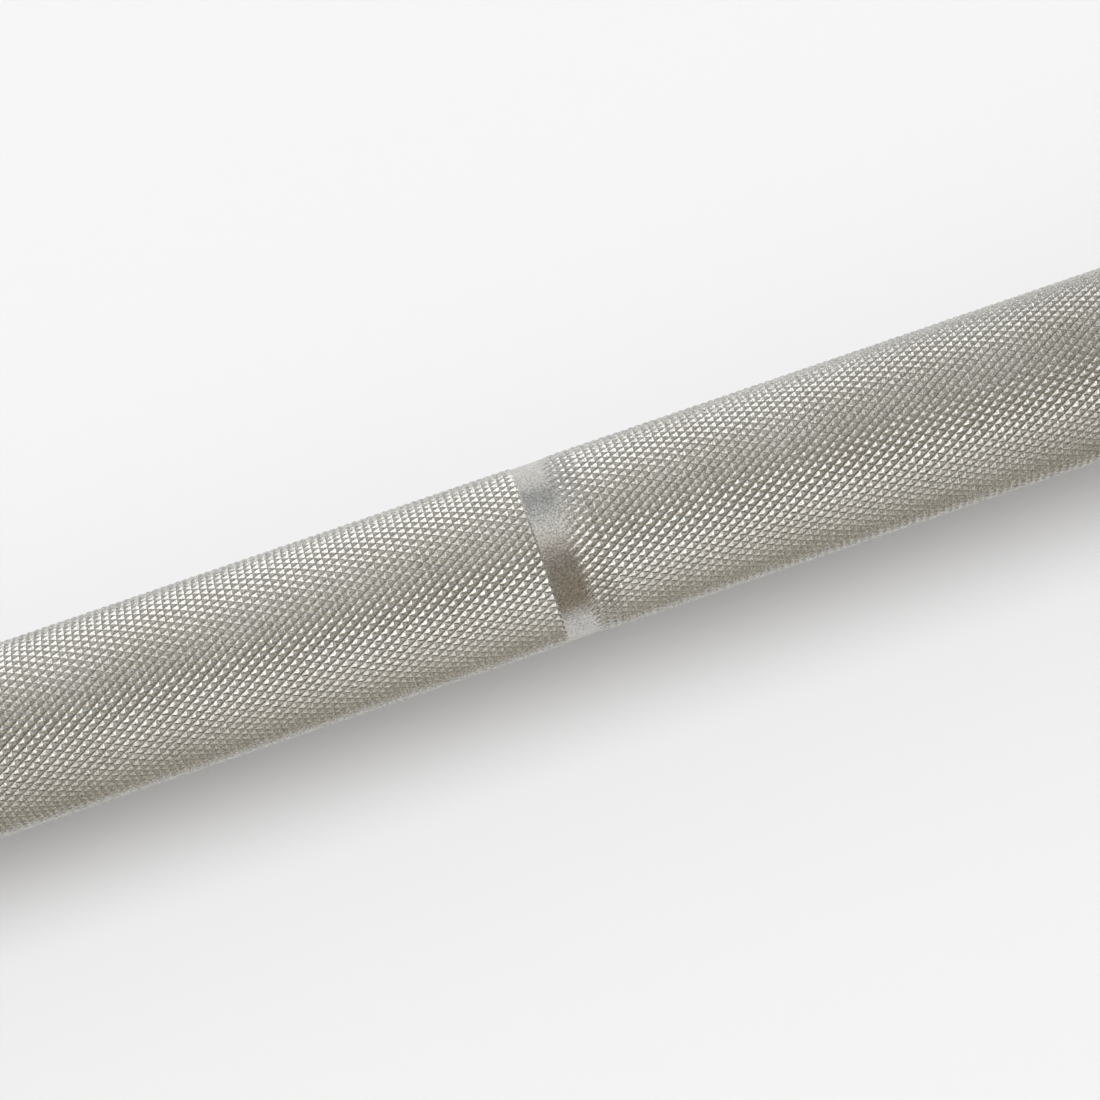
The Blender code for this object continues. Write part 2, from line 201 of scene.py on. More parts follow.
studio = bpy.data.worlds.new("studio")
scene.world = studio
studio.use_nodes = True
air = studio.node_tree
air.nodes.clear()
towards = wire(air, "ShaderNodeTexCoord").outputs["Generated"]
parts = wire(air, "ShaderNodeSeparateXYZ", {0: towards})
lean = wire(air, "ShaderNodeMath", {0: parts.outputs["Y"], 1: parts.outputs["Z"]}, operation="ARCTAN2")
share = wire(
    air,
    "ShaderNodeMapRange",
    {"Value": lean.outputs[0], "From Min": -math.pi / 2, "From Max": math.pi / 2},
)


def room_side(name):
    """The colours of one side of the room by lean."""
    ramp = wire(air, "ShaderNodeValToRGB", {0: share.outputs[0]})
    stops = ramp.color_ramp.elements
    while len(stops) < len(ROOM[name]):
        stops.new(0.5)
    for stop, (angle, colour) in zip(stops, ROOM[name]):
        stop.position = (angle + 90) / 180
        stop.color = (*colour, 1)
    return ramp.outputs[0]


def blend_by(value, ends, below, above):
    """Turns from one colour to the other as value goes from one end to the other."""
    factor = wire(
        air,
        "ShaderNodeMapRange",
        {"Value": value, "From Min": ends[0], "From Max": ends[1]},
        interpolation_type="SMOOTHSTEP",
    )
    mix = wire(air, "ShaderNodeMix", {"Factor": factor.outputs[0]}, data_type="RGBA")
    air.links.new(below, mix.inputs["A"])
    air.links.new(above, mix.inputs["B"])
    return mix.outputs["Result"]


reach = parts.outputs["X"]
colours = blend_by(reach, LEFT_FROM, room_side("middle"), room_side("left"))
colours = blend_by(reach, WINDOW_FROM, colours, room_side("window"))
colours = blend_by(reach, RIGHT_FROM, colours, room_side("right"))
far = wire(air, "ShaderNodeMath", {0: reach}, operation="ABSOLUTE")
colours = blend_by(far.outputs[0], FAR_FROM, colours, room_side("far"))
pale = wire(air, "ShaderNodeRGB")
pale.outputs[0].default_value = (*BACKGROUND, 1)
skyline = blend_by(parts.outputs["Z"], SKYLINE, pale.outputs[0], colours)
ray = wire(air, "ShaderNodeLightPath").outputs
bounced = {0: ray["Is Glossy Ray"], 1: ray["Is Transmission Ray"]}
mirrored = wire(air, "ShaderNodeMath", bounced, operation="MAXIMUM")
colours = blend_by(mirrored.outputs[0], (0, 1), colours, skyline)
colours = blend_by(ray["Is Camera Ray"], (0, 1), colours, pale.outputs[0])
glow = wire(air, "ShaderNodeBackground", {"Color": colours, "Strength": 1.0})
wire(air, "ShaderNodeOutputWorld", {"Surface": glow.outputs[0]})

softbox_data = bpy.data.lights.new("softbox", "SUN")
softbox_data.energy = SOFTBOX_LIGHT
softbox_data.angle = SOFTBOX_SPREAD
softbox = bpy.data.objects.new("softbox", softbox_data)
softbox.rotation_euler = (-SOFTBOX_LEAN, math.asin(SOFTBOX_REACH), 0)
softbox.visible_glossy = False
scene.collection.objects.link(softbox)


# The camera.
# It looks down on the shaft's right-hand ring mark from 0.4 m, rolled so that the bar rises to the right.

MARK_CENTRE = Vector((0.4575, 0, 0))
CAMERA_DISTANCE = 0.400
CAMERA_LENS = 85.1
CAMERA_SENSOR = 36
CAMERA_CLIP = 0.01
BAR_RISE = math.radians(18.86)
BAR_TILT = math.radians(1.8)
AIM_OFFSET = (-0.00072, 0.00012)

right = Vector((math.cos(BAR_RISE), -math.sin(BAR_RISE), 0))
look = Vector((math.sin(BAR_TILT), 0, -math.cos(BAR_TILT)))
up = right.cross(look).normalized()
right = look.cross(up).normalized()
aim = MARK_CENTRE + right * AIM_OFFSET[0] + up * AIM_OFFSET[1]
camera_data = bpy.data.cameras.new("camera")
camera_data.lens = CAMERA_LENS
camera_data.sensor_width = CAMERA_SENSOR
camera_data.clip_start = CAMERA_CLIP
camera = bpy.data.objects.new("camera", camera_data)
facing = Matrix((right, up, -look)).transposed().to_4x4()
camera.matrix_world = Matrix.Translation(aim - look * CAMERA_DISTANCE) @ facing
scene.collection.objects.link(camera)
scene.camera = camera


# The knurled lengths of the shaft.
# Two families of grooves are rolled into the 28 mm steel bar at 30 degrees to its axis, which leaves rows of
# four-sided points. One family is the deeper, so its ridges run on between the points.

SHAFT_RADIUS = 0.014
CREST_RADIUS = 0.01423
TIP_HALF = 0.07
TIP_DEPTH = 0.00003
RIDGE_DEPTH = 0.00041
NOTCH_DEPTH = 0.00035
STARTS = 64
ROW_STEP = 0.001185
RUN_IN_ROWS = 5
RUN_IN_STEPS = 8
RIDGE_ROWS = 2.8
NOTCH_FROM_ROW = 0.6
NOTCH_ROWS = 2.2
RISE_ROWS = 3.2
END_CHAMFER = 0.00030
END_SHADE = 0.9

GRIP_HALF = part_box("right_collar")[0].x
MARK = (GRIP_HALF - 0.200, GRIP_HALF - 0.1959)
INNER_KNURL = (GRIP_HALF - 0.445, MARK[0])
OUTER_KNURL = (MARK[1], GRIP_HALF - 0.004)
CENTRE_HALF = 0.060


def link_mesh(name, mesh):
    piece = bpy.data.objects.new(name, mesh)
    scene.collection.objects.link(piece)
    return piece


def mesh_from(name, points, triangles):
    mesh = bpy.data.meshes.new(name)
    mesh.vertices.add(len(points))
    mesh.vertices.foreach_set("co", points.astype(np.float32).ravel())
    mesh.loops.add(triangles.size)
    mesh.loops.foreach_set("vertex_index", triangles.astype(np.int32).ravel())
    mesh.polygons.add(len(triangles))
    mesh.polygons.foreach_set("loop_start", np.arange(0, triangles.size, 3, dtype=np.int32))
    mesh.update(calc_edges=True)
    return mesh


def run_in(start, step):
    """The first rows of a knurl in small steps: two families of V-grooves that deepen along the bar.

    Points lie on a lattice whose lines follow the grooves: s counts along the bar and c round it.
    """
    n = RUN_IN_STEPS
    round_bar = 2 * STARTS * n
    s, c = np.divmod(np.arange((RUN_IN_ROWS * n + 1) * round_bar), round_bar)
    rows = s / n
    from_ridge = np.abs((s + c) / (2 * n) - np.round((s + c) / (2 * n)))
    from_notch = np.abs((s - c) / (2 * n) - np.round((s - c) / (2 * n)))
    slope = RIDGE_DEPTH / (0.5 - 0.5 * TIP_HALF)
    ridge = RIDGE_DEPTH * np.sin(0.5 * math.pi * np.clip(rows / RIDGE_ROWS, 0, 1))
    notch = NOTCH_DEPTH * np.sin(0.5 * math.pi * np.clip((rows - NOTCH_FROM_ROW) / NOTCH_ROWS, 0, 1))
    depth = np.maximum(ridge - slope * (0.5 - from_ridge), notch - slope * (0.5 - from_notch))
    depth = np.maximum(depth, 0)
    rise = np.clip(rows / RISE_ROWS, 0, 1)
    radius = SHAFT_RADIUS + (CREST_RADIUS - SHAFT_RADIUS) * rise * rise * (3 - 2 * rise) - depth
    angle = math.pi / STARTS * c / n
    points = np.stack([start + step * rows, -radius * np.sin(angle), radius * np.cos(angle)], -1)

    ranges = (np.arange(RUN_IN_ROWS), np.arange(STARTS), np.arange(n), np.arange(n))
    row, column, i, j = np.meshgrid(*ranges, indexing="ij")
    column = 2 * column + row % 2
    # Each small square is split along the way that the ridges and notches fold it.
    fold = (2 * i + 1 - n) * (2 * j + 1 - n) > 0
    i = i + n * (row + column) // 2 - n // 2
    j = j + n * (row - column) // 2 - n // 2
    corners = []
    for across, along in ((0, 0), (1, 0), (0, 1), (1, 1)):
        corners.append((i + j + across + along) * round_bar + (i - j + across - along) % round_bar)
    here, ahead, beside, beyond = corners
    one = np.stack([here, ahead, np.where(fold, beyond, beside)], -1)
    two = np.stack([np.where(fold, here, ahead), beyond, beside], -1)
    triangles = np.concatenate([one.reshape(-1, 3), two.reshape(-1, 3)])
    triangles = triangles[triangles.min(-1) >= 0]
    return points, depth / RIDGE_DEPTH, triangles, np.arange(0, round_bar, 2)


def knurl_meshes(start, end, lengths):
    """Solid lengths of bar with a diamond knurl, which runs in slowly at the start and ends sharply.

    A cell of the knurl is one point: its tip, the tip's four corners, the two ends of the notch beyond it and
    the crossing of grooves to its right. p counts across the ridges and q along them. The cells stand in
    rows round the bar, and no triangle crosses the line through the middle of a row.
    """
    rows = round((end - END_CHAMFER - start) / ROW_STEP)
    step = (end - END_CHAMFER - start) / rows
    turn = math.pi / STARTS

    row, column = np.meshgrid(np.arange(-2, rows + 3), np.arange(STARTS), indexing="ij")
    column = 2 * column + row % 2
    reach = TIP_HALF + (0.5 - TIP_HALF) * NOTCH_DEPTH / RIDGE_DEPTH
    cell = (
        (0, 0, 0),
        (-TIP_HALF, -TIP_HALF, TIP_DEPTH),
        (TIP_HALF, -TIP_HALF, TIP_DEPTH),
        (TIP_HALF, TIP_HALF, TIP_DEPTH),
        (-TIP_HALF, TIP_HALF, TIP_DEPTH),
        (-reach, 0.5, NOTCH_DEPTH),
        (reach, 0.5, NOTCH_DEPTH),
        (0.5, 0.5, RIDGE_DEPTH),
    )
    p, q, depth = np.array(cell).T
    x = start + step * (row[..., None] + p + q)
    angle = turn * (column[..., None] + p - q)
    radius = CREST_RADIUS - depth + 0 * x
    points = np.stack([x, -radius * np.sin(angle), radius * np.cos(angle)], -1).reshape(-1, 3)
    groove = np.tile(depth / RIDGE_DEPTH, row.size)
    fine_points, fine_groove, fine, fine_ring = run_in(start, step)
    fine, fine_ring = fine + len(points), fine_ring + len(points)
    points = np.concatenate([points, fine_points])
    groove = np.concatenate([groove, fine_groove])

    def vertex(row, column, number, across=0, along=0):
        """A vertex of the cell that lies so many cells across the ridges and along them."""
        row, column = row + across + along, column + across - along
        return ((row + 2) * STARTS + (column - row % 2) // 2 % STARTS) * 8 + number

    tip, low_corner, right_corner, high_corner, left_corner = (0,), (1,), (2,), (3,), (4,)
    notch_left, notch_right = (5,), (6,)
    under_left, under_right = (5, 0, -1), (6, 0, -1)
    groove_high, groove_low = (7,), (7, -1, -1)
    groove_left, groove_right = (7, -1, 0), (7, 0, -1)
    rounded = (
        (tip, left_corner, low_corner),
        (tip, low_corner, right_corner),
        (tip, right_corner, high_corner),
        (tip, high_corner, left_corner),
    )
    flanks = (
        (low_corner, left_corner, groove_left),
        (low_corner, groove_left, groove_low),
        (low_corner, groove_low, under_left),
        (left_corner, notch_left, groove_left),
        (high_corner, right_corner, groove_right),
        (high_corner, groove_right, groove_high),
        (high_corner, groove_high, notch_right),
        (right_corner, under_right, groove_right),
        (high_corner, notch_left, left_corner),
        (high_corner, notch_right, notch_left),
        (low_corner, under_right, right_corner),
        (low_corner, under_left, under_right),
    )
    row, column = np.meshgrid(np.arange(RUN_IN_ROWS, rows + 1), np.arange(STARTS), indexing="ij")
    column = 2 * column + row % 2
    triangles = []
    for corners in rounded + flanks:
        triangles.append(np.stack([vertex(row, column, *corner) for corner in corners], -1).reshape(-1, 3))
    flat = np.repeat([False] * len(rounded) + [True] * len(flanks), row.size)
    triangles = np.concatenate(triangles)
    middle = (points[triangles, 0].mean(1) - start) / step

    def ring(row):
        column = 2 * np.arange(STARTS) + row % 2
        around = (groove_left, left_corner, tip, right_corner)
        return np.stack([vertex(row, column, *corner) for corner in around], -1).ravel()

    made = []
    stops = [round(rows * n / lengths) for n in range(lengths + 1)]
    for first, last in zip(stops, stops[1:]):
        chosen = (middle > first) & (middle < last)
        inside, sharp = [triangles[chosen]], [flat[chosen]]
        mine, grooves = points, groove
        near, far = ring(first), ring(last)
        if first == 0:
            inside.append(fine)
            sharp.append(np.full(len(fine), False))
            near = fine_ring
        shell = len(inside)
        # The last length ends in a chamfer down to the bare bar.
        if last == rows:
            edge = points[far]
            scale = SHAFT_RADIUS / np.hypot(edge[:, 1], edge[:, 2])
            edge = np.stack([np.full(len(far), end), edge[:, 1] * scale, edge[:, 2] * scale], -1)
            edge_ids = len(mine) + np.arange(len(far))
            mine = np.concatenate([mine, edge])
            # The chamfer's edge takes a groove value, so that painted shade darkens it like the groove
            # bottoms.
            grooves = np.concatenate([grooves, np.full(len(far), END_SHADE)])
            inside.append(np.stack([far, np.roll(far, -1), np.roll(edge_ids, -1)], -1))
            inside.append(np.stack([far, np.roll(edge_ids, -1), edge_ids], -1))
            far = edge_ids
        # The flat ends have rim points of their own, so that they don't tilt the shading of the teeth.
        rims = mine[np.concatenate([near, far])]
        near = len(mine) + np.arange(len(near))
        far = near[-1] + 1 + np.arange(len(far))
        mine = np.concatenate([mine, rims])
        grooves = np.concatenate([grooves, np.zeros(len(rims))])
        hubs = np.array([[mine[near[0], 0], 0, 0], [mine[far[0], 0], 0, 0]])
        inside.append(np.stack([np.roll(near, -1), near, np.full(len(near), len(mine))], -1))
        inside.append(np.stack([far, np.roll(far, -1), np.full(len(far), len(mine) + 1)], -1))
        mine = np.concatenate([mine, hubs])
        sharp.append(np.full(sum(len(faces) for faces in inside[shell:]), True))
        grooves = np.concatenate([grooves, np.zeros(2)])
        used, faces = np.unique(np.concatenate(inside), return_inverse=True)
        mesh = mesh_from("knurl", mine[used], faces.reshape(-1, 3))
        how_deep = mesh.attributes.new("groove", "FLOAT", "POINT")
        how_deep.data.foreach_set("value", grooves[used].astype(np.float32))
        is_flat = mesh.attributes.new("sharp_face", "BOOLEAN", "FACE")
        is_flat.data.foreach_set("value", np.concatenate(sharp))
        made.append(mesh)
    return made


def new_group(name, inputs, outputs):
    """A shader node group with number inputs, and its own input and output nodes."""
    group = bpy.data.node_groups.new(name, "ShaderNodeTree")
    for socket in inputs:
        group.interface.new_socket(socket, in_out="INPUT", socket_type="NodeSocketFloat")
    for socket, kind in outputs.items():
        group.interface.new_socket(socket, in_out="OUTPUT", socket_type="NodeSocket" + kind)
    return group, group.nodes.new("NodeGroupInput").outputs, group.nodes.new("NodeGroupOutput").inputs


def blend_colours(tree, factor, one, two, how="MIX"):
    mix = wire(tree, "ShaderNodeMix", data_type="RGBA", blend_type=how)
    for socket, value in (("Factor", factor), ("A", one), ("B", two)):
        if isinstance(value, bpy.types.NodeSocket):
            tree.links.new(value, mix.inputs[socket])
        elif socket == "Factor":
            mix.inputs[socket].default_value = value
        else:
            mix.inputs[socket].default_value = (*value, 1)
    return mix.outputs["Result"]


def span(tree, value, low, high, new_low, new_high):
    """Maps value from one range onto another, and stops at its ends."""
    return wire(
        tree,
        "ShaderNodeMapRange",
        {"Value": value, "From Min": low, "From Max": high, "To Min": new_low, "To Max": new_high},
    ).outputs[0]


def sums(tree, how, one, two=0.5):
    return wire(tree, "ShaderNodeMath", {0: one, 1: two}, operation=how).outputs[0]


def noise_of(tree, place, scale, detail=2.0, roughness=0.6):
    inputs = {"Vector": place, "Scale": scale, "Detail": detail, "Roughness": roughness}
    return wire(tree, "ShaderNodeTexNoise", inputs).outputs["Fac"]


def satin_grain():
    """The fine grain of satin plating: its height, and its light and dark specks."""
    group, given, out = new_group("satin_grain", ("Size",), {"Height": "Float", "Specks": "Float"})
    place = wire(group, "ShaderNodeTexCoord").outputs["Object"]
    scale = sums(group, "DIVIDE", 1.0, given["Size"])
    aside = wire(group, "ShaderNodeVectorMath", {0: place, 1: (0.37, 0.37, 0.37)}, operation="ADD")
    group.links.new(noise_of(group, place, scale), out["Height"])
    group.links.new(noise_of(group, aside.outputs[0], scale, 1.0), out["Specks"])
    return group


grain_group = satin_grain()


def metal(name, colours, roughness, grain, specks, cloud_size=0.016):
    """A metal whose colour and roughness wander a little, under a grain of a size and a height."""
    material = bpy.data.materials.new(name)
    material.use_nodes = True
    tree = material.node_tree
    shader = tree.nodes["Principled BSDF"]
    shader.inputs["Metallic"].default_value = 1.0
    place = wire(tree, "ShaderNodeTexCoord").outputs["Object"]
    cloud = noise_of(tree, place, 1 / cloud_size, 4.0)
    tint = blend_colours(tree, span(tree, cloud, 0.3, 0.7, 0.0, 1.0), *colours)
    fine = wire(tree, "ShaderNodeGroup", node_tree=grain_group)
    fine.inputs["Size"].default_value = grain[0]
    speck = span(tree, fine.outputs["Specks"], 0.3, 0.7, 1 - specks, 1 + specks)
    grey = wire(tree, "ShaderNodeCombineColor", {0: speck, 1: speck, 2: speck}).outputs[0]
    tree.links.new(blend_colours(tree, 1.0, tint, grey, "MULTIPLY"), shader.inputs["Base Color"])
    tree.links.new(span(tree, cloud, 0.3, 0.7, *roughness), shader.inputs["Roughness"])
    heights = {"Height": fine.outputs["Height"], "Distance": grain[1], "Strength": 1.0}
    tree.links.new(wire(tree, "ShaderNodeBump", heights).outputs["Normal"], shader.inputs["Normal"])
    return material, tree, shader


GROOVE_SHADE_COLOUR = (0.24, 0.215, 0.165)

shaft_steel, tree, shader = metal(
    "shaft_steel", ((0.60, 0.585, 0.545), (0.66, 0.65, 0.62)), (0.16, 0.22), (0.00028, 6.0e-5), 0.34
)
unshaded_steel = shader.inputs["Base Color"].links[0].from_socket
# Painted shade: the base colour turns dark brown towards the groove bottoms and at the end chamfer's edge.
groove = wire(tree, "ShaderNodeAttribute", attribute_name="groove").outputs["Fac"]
groove_shade = span(tree, groove, 0.65, 1.0, 0.0, 0.50)
tree.links.new(blend_colours(tree, groove_shade, unshaded_steel, GROOVE_SHADE_COLOUR), shader.inputs["Base Color"])


def add_shaft_piece(name, mesh, side):
    piece = link_mesh(name, mesh)
    mesh.materials.append(shaft_steel)
    if side < 0:
        piece.rotation_euler.z = math.pi
    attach(piece, "shaft")
    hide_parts("shaft")
    return piece


SIDES = (("right", 1), ("left", -1))
add_shaft_piece("shaft_centre_knurl", knurl_meshes(-CENTRE_HALF, CENTRE_HALF, 1)[0], 1)
for side, sign in SIDES:
    for label, ends in (("inner", INNER_KNURL), ("outer", OUTER_KNURL)):
        for number, mesh in enumerate(knurl_meshes(*ends, 2), 1):
            add_shaft_piece("%s_shaft_%s_knurl_%d" % (side, label, number), mesh, sign)


# The smooth lengths of the shaft.
# The same bar, left bare between the knurled bands and at the ring marks. Outside the grip it steps down to a
# ground journal, with a groove for the circlip and a chamfer at its end.

JOURNAL_RADIUS = 0.0125
SHOULDER = 0.6623
CLIP_GROOVE = (1.0766, 1.0786)
CLIP_GROOVE_RADIUS = 0.0113
SHAFT_END = 1.0816
JOURNAL_CHAMFER = 0.001
JOURNAL_FILLET = 0.0003
JOURNAL_FACETS = 128
PLAIN_RINGS = 8
FILLET_STEPS = (0.0, 0.33, 0.67, 1.0)
SHARP_EDGE = math.radians(35)
NEARLY_STRAIGHT = math.radians(176)


def round_corners(profile, radius, closed=True):
    """Puts a small fillet in each corner of a profile of (along, radius) points."""
    rounded = []
    for i, corner in enumerate(profile):
        here = Vector(corner)
        before, after = Vector(profile[i - 1]) - here, Vector(profile[(i + 1) % len(profile)]) - here
        if not closed and i in (0, len(profile) - 1) or before.angle(after) > NEARLY_STRAIGHT:
            rounded.append(corner)
            continue
        cut = min(radius, 0.4 * before.length, 0.4 * after.length)
        start, end = here + before.normalized() * cut, here + after.normalized() * cut
        for t in FILLET_STEPS:
            point = start.lerp(here, t).lerp(here.lerp(end, t), t)
            rounded.append((point.x, point.y))
    return rounded


def turned_mesh(name, profile, facets, closed=True):
    """Turns a profile of (along, radius) points about the bar's axis."""
    rings = []
    bm = bmesh.new()
    for along, radius in profile:
        if radius == 0:
            rings.append([bm.verts.new((along, 0, 0))] * facets)
            continue
        ring = []
        for i in range(facets):
            turn = 2 * math.pi * i / facets
            ring.append(bm.verts.new((along, -radius * math.sin(turn), radius * math.cos(turn))))
        rings.append(ring)
    pairs = list(zip(rings, rings[1:]))
    if closed:
        pairs.append((rings[-1], rings[0]))
    for one, two in pairs:
        for i in range(facets):
            n = (i + 1) % facets
            corners = dict.fromkeys((one[i], two[i], two[n], one[n]))
            bm.faces.new(list(corners))
    bmesh.ops.recalc_face_normals(bm, faces=bm.faces)
    mesh = bpy.data.meshes.new(name)
    bm.to_mesh(mesh)
    bm.free()
    mesh.shade_smooth()
    mesh.set_sharp_from_angle(angle=SHARP_EDGE)
    return mesh


def plain_length(name, start, end):
    """A bare length of the bar, whose rims meet the fine rims of the knurls beside it."""
    rim = [(start + (end - start) * i / PLAIN_RINGS, SHAFT_RADIUS) for i in range(PLAIN_RINGS + 1)]
    return turned_mesh(name, [(start, 0), *rim, (end, 0)], STARTS * RUN_IN_STEPS, closed=False)


journal = [
    (OUTER_KNURL[1], 0),
    (OUTER_KNURL[1], SHAFT_RADIUS),
    (SHOULDER, SHAFT_RADIUS),
    (SHOULDER, JOURNAL_RADIUS),
    (CLIP_GROOVE[0], JOURNAL_RADIUS),
    (CLIP_GROOVE[0], CLIP_GROOVE_RADIUS),
    (CLIP_GROOVE[1], CLIP_GROOVE_RADIUS),
    (CLIP_GROOVE[1], JOURNAL_RADIUS),
    (SHAFT_END - JOURNAL_CHAMFER, JOURNAL_RADIUS),
    (SHAFT_END, JOURNAL_RADIUS - JOURNAL_CHAMFER),
    (SHAFT_END, 0),
]
for side, sign in SIDES:
    for label, ends in (("smooth", (CENTRE_HALF, INNER_KNURL[0])), ("ring_mark", MARK)):
        name = side + "_shaft_" + label
        add_shaft_piece(name, plain_length(name, *ends), sign)
    name = side + "_shaft_journal"
    rounded = round_corners(journal, JOURNAL_FILLET, False)
    add_shaft_piece(name, turned_mesh(name, rounded, JOURNAL_FACETS, closed=False), sign)


# The dust seals.
# A moulded rubber ring, pressed into the mouth of each sleeve. Its thin lip wipes the shaft.

SEAL = (0.6558, 0.6608)
SEAL_RADIUS = 0.0179
LIP_RADIUS = 0.0143
SEAL_FILLET = 0.0003
SEAL_FACETS = 96
RUBBER_COLOUR = (0.022, 0.022, 0.023)
DUST_COLOUR = (0.10, 0.098, 0.092)

seal_rubber = bpy.data.materials.new("seal_rubber")
seal_rubber.use_nodes = True
tree = seal_rubber.node_tree
shader = tree.nodes["Principled BSDF"]
place = wire(tree, "ShaderNodeTexCoord").outputs["Object"]
dust = span(tree, noise_of(tree, place, 900.0, 4.0), 0.45, 0.75, 0.0, 0.5)
tree.links.new(blend_colours(tree, dust, RUBBER_COLOUR, DUST_COLOUR), shader.inputs["Base Color"])
tree.links.new(span(tree, dust, 0.0, 0.5, 0.52, 0.72), shader.inputs["Roughness"])
fine = wire(tree, "ShaderNodeGroup", node_tree=grain_group)
fine.inputs["Size"].default_value = 0.00025
heights = {"Height": fine.outputs["Height"], "Distance": 2.0e-5, "Strength": 1.0}
tree.links.new(wire(tree, "ShaderNodeBump", heights).outputs["Normal"], shader.inputs["Normal"])

seal_profile = [
    (SEAL[0], LIP_RADIUS),
    (SEAL[0] + 0.0002, LIP_RADIUS + 0.0011),
    (SEAL[0] + 0.0007, LIP_RADIUS + 0.0016),
    (SEAL[0], LIP_RADIUS + 0.0021),
    (SEAL[0], SEAL_RADIUS),
    (SEAL[1], SEAL_RADIUS),
    (SEAL[1], LIP_RADIUS + 0.0010),
    (SEAL[0] + 0.0015, LIP_RADIUS + 0.0010),
]


def add_end_piece(name, mesh, sign, body, node, material):
    """A piece of one end of the bar, drawn on the right and turned round for the left."""
    piece = link_mesh(name, mesh)
    mesh.materials.clear()
    mesh.materials.append(material)
    if sign < 0:
        piece.matrix_world = Matrix.Rotation(math.pi, 4, "Z") @ piece.matrix_world
    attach(piece, body)
    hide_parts(node)
    return piece


for side, sign in SIDES:
    name = side + "_seal_ring"
    mesh = turned_mesh(name, round_corners(seal_profile, SEAL_FILLET), SEAL_FACETS)
    add_end_piece(name, mesh, sign, side + "_sleeve", side + "_dust_seal", seal_rubber)


# The sleeves.
# A 50 mm steel tube turns on each journal. It is hard-chromed and polished, with a chamfer to guide the
# plates on, and plates have rubbed fine scratches along it.

SLEEVE_RADIUS = 0.025
SLEEVE_START = 0.655
SLEEVE_END = 1.100
COUNTERBORE_RADIUS = 0.0182
SEAT_RADIUS = 0.0162
SEAT = (0.6682, 1.071)
CAP_SEAT = 1.0853
CAP_BORE_RADIUS = 0.0202
CAP_GROOVE = (1.0956, 1.098)
CAP_GROOVE_RADIUS = 0.0214
SLEEVE_CHAMFER = 0.002
SLEEVE_FILLET = 0.0006
SLEEVE_FACETS = 160
SCRATCH_LENGTH = 0.012
SCRATCH_WIDTH = 0.0005
SCRATCH_COLOUR = (0.50, 0.50, 0.49)


def turned_lines():
    """The fine lines that a lathe or a polishing wheel leaves round the bar: their height."""
    group, given, out = new_group("turned_lines", ("Spacing",), {"Height": "Float"})
    place = wire(group, "ShaderNodeTexCoord").outputs["Object"]
    along = wire(group, "ShaderNodeSeparateXYZ", {0: place}).outputs
    across = wire(group, "ShaderNodeCombineXYZ", {"Y": along["Y"], "Z": along["Z"]}).outputs[0]
    radius = wire(group, "ShaderNodeVectorMath", {0: across}, operation="LENGTH").outputs["Value"]
    where = wire(group, "ShaderNodeCombineXYZ", {"X": along["X"], "Y": radius}).outputs[0]
    group.links.new(noise_of(group, where, sums(group, "DIVIDE", 1.0, given["Spacing"]), 3.0), out["Height"])
    return group


def rub_marks():
    """Fine scratches along the bar: a mask that is 1 in a scratch."""
    group, given, out = new_group("rub_marks", ("Length", "Width"), {"Mask": "Float"})
    place = wire(group, "ShaderNodeTexCoord").outputs["Object"]
    along = wire(group, "ShaderNodeSeparateXYZ", {0: place}).outputs
    stretched = {}
    for axis, size in (("X", "Length"), ("Y", "Width"), ("Z", "Width")):
        stretched[axis] = sums(group, "DIVIDE", along[axis], given[size])
    where = wire(group, "ShaderNodeCombineXYZ", stretched).outputs[0]
    group.links.new(span(group, noise_of(group, where, 1.0, 3.0), 0.60, 0.72, 0.0, 1.0), out["Mask"])
    return group


lines_group = turned_lines()
rub_group = rub_marks()


def add_lines(tree, shader, spacing, height):
    """Adds turned lines under the grain of a metal."""
    lines = wire(tree, "ShaderNodeGroup", node_tree=lines_group)
    lines.inputs["Spacing"].default_value = spacing
    under = {"Height": lines.outputs["Height"], "Distance": height, "Strength": 1.0}
    bump = shader.inputs["Normal"].links[0].from_node
    tree.links.new(wire(tree, "ShaderNodeBump", under).outputs["Normal"], bump.inputs["Normal"])


sleeve_chrome, tree, shader = metal(
    "sleeve_chrome", ((0.60, 0.605, 0.60), (0.66, 0.665, 0.66)), (0.12, 0.19), (0.0006, 2.0e-6), 0.03, 0.03
)
add_lines(tree, shader, 0.00015, 1.2e-6)
scratches = wire(tree, "ShaderNodeGroup", node_tree=rub_group)
scratches.inputs["Length"].default_value = SCRATCH_LENGTH
scratches.inputs["Width"].default_value = SCRATCH_WIDTH
polish = shader.inputs["Roughness"].links[0].from_socket
rubbed = sums(tree, "MULTIPLY", scratches.outputs["Mask"], 0.16)
tree.links.new(sums(tree, "ADD", polish, rubbed), shader.inputs["Roughness"])
chrome_colour = shader.inputs["Base Color"].links[0].from_socket
worn = sums(tree, "MULTIPLY", scratches.outputs["Mask"], 0.5)
tree.links.new(blend_colours(tree, worn, chrome_colour, SCRATCH_COLOUR), shader.inputs["Base Color"])

sleeve_profile = [
    (SLEEVE_START, COUNTERBORE_RADIUS),
    (SLEEVE_START, SLEEVE_RADIUS),
    (SLEEVE_END - SLEEVE_CHAMFER, SLEEVE_RADIUS),
    (SLEEVE_END, SLEEVE_RADIUS - SLEEVE_CHAMFER),
    (SLEEVE_END, CAP_BORE_RADIUS),
    (CAP_GROOVE[1], CAP_BORE_RADIUS),
    (CAP_GROOVE[1], CAP_GROOVE_RADIUS),
    (CAP_GROOVE[0], CAP_GROOVE_RADIUS),
    (CAP_GROOVE[0], CAP_BORE_RADIUS),
    (CAP_SEAT, CAP_BORE_RADIUS),
    (CAP_SEAT, COUNTERBORE_RADIUS),
    (SEAT[1], COUNTERBORE_RADIUS),
    (SEAT[1], SEAT_RADIUS),
    (SEAT[0], SEAT_RADIUS),
    (SEAT[0], COUNTERBORE_RADIUS),
]
